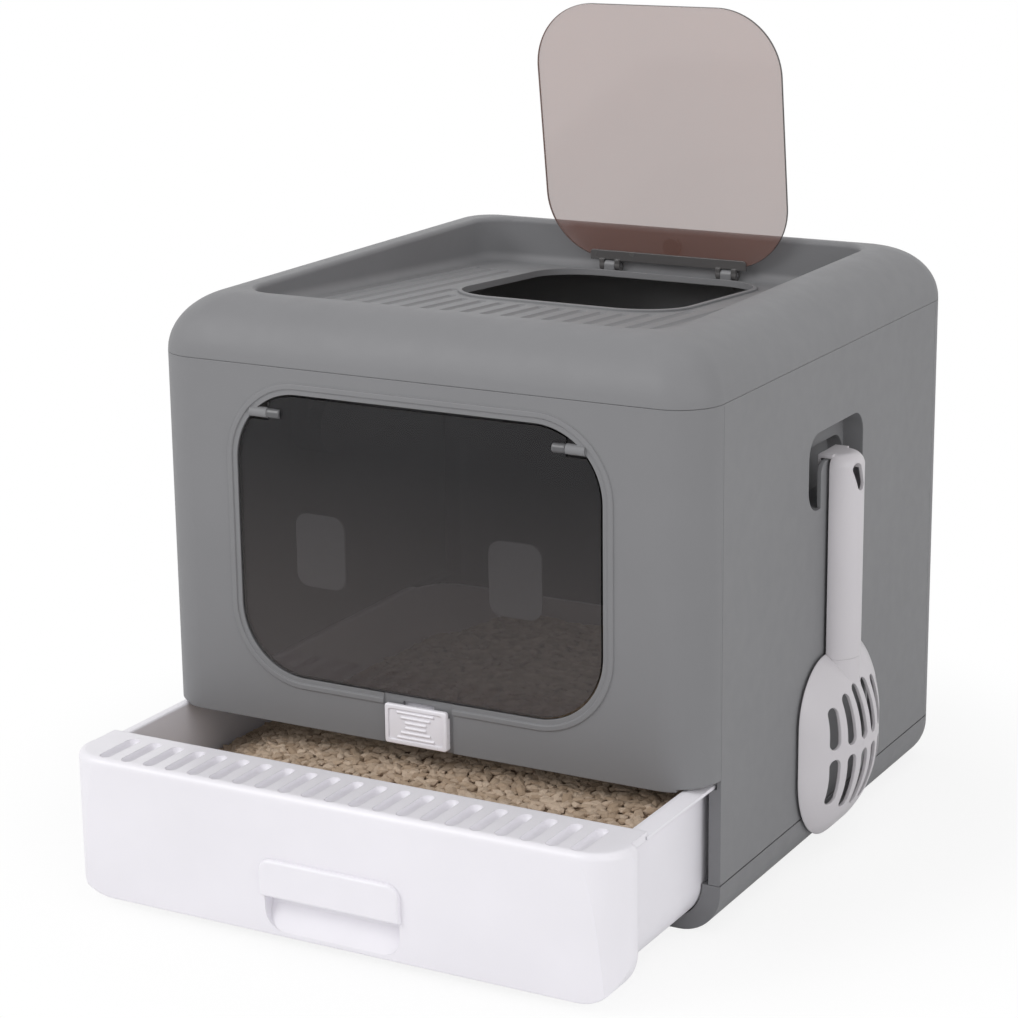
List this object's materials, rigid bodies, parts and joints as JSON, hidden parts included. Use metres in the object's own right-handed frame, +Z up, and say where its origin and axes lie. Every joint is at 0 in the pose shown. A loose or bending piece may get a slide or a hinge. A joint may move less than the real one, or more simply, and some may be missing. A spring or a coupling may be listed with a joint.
{
  "type": "drawer litter box",
  "caption": "Enclosed cat litter cabin with a pull-out tray, a swinging smoked front door with a latch, a lidded top entry and a scoop hung on its side.",
  "frame": {"origin": "on the floor at the centre of the cabin's footprint", "axes": "+X to the right seen from the front, the front faces -Y, +Z up; stored as pictured, the drawer 63.5 mm out and the top lid standing open"},
  "size_m": [0.4351, 0.5426, 0.558],
  "materials": {
    "grey_shell": "fine satin",
    "white_drawer": "satin gloss",
    "smoked_door": "smoked, polished",
    "smoked_lid": "smoked, polished",
    "grey_hinge": "satin",
    "dark_hinge": "polished",
    "white_latch": "satin",
    "dark_pads": "matt",
    "steel_pins": "brushed",
    "soft_rubber": "matt",
    "grey_scoop": "satin",
    "litter": "granules"
  },
  "bodies": {
    "shell": {"base": "grey_shell", "left_side_panel": "grey_shell", "right_side_panel": "grey_shell", "front_panel": "grey_shell", "rear_panel": "grey_shell", "top_cover": "grey_shell", "lid_brackets": "grey_hinge", "lid_pins": "steel_pins", "lid_bumper": "soft_rubber", "door_pins": "steel_pins"},
    "lid": {"top_lid": "smoked_lid", "lid_hinge_rail": "dark_hinge"},
    "door": {"front_door": "smoked_door", "left_door_hub": "grey_hinge", "right_door_hub": "grey_hinge", "door_pads": "dark_pads"},
    "latch": {"door_latch": "white_latch", "latch_back_plate": "white_latch"},
    "drawer": {"drawer_tray": "white_drawer", "drawer_front": "white_drawer", "litter_bed": "litter"},
    "scoop": {"scoop_handle": "grey_scoop", "scoop_head": "grey_scoop"}
  },
  "joints": [
    {"name": "drawer_slide", "type": "slide", "parent": "shell", "child": "drawer", "axis": [0, -1, 0], "range_m": [-0.0635, 0.236]},
    {"name": "lid_hinge", "type": "hinge", "parent": "shell", "child": "lid", "pos_m": [0, 0.163, 0.36111], "axis": [1, 0, 0], "range_deg": [-11.8, 79.2]},
    {"name": "door_hinge", "type": "hinge", "parent": "shell", "child": "door", "pos_m": [0, -0.21099, 0.3193], "axis": [1, 0, 0], "range_deg": [-78, 78]},
    {"name": "latch_slide", "type": "slide", "parent": "shell", "child": "latch", "axis": [0, 0, 1], "range_m": [0, 0.01]},
    {"name": "scoop_lift_off", "type": "slide", "parent": "shell", "child": "scoop", "axis": [0.5, 0, 0.866], "range_m": [0, 0.12]}
  ]
}
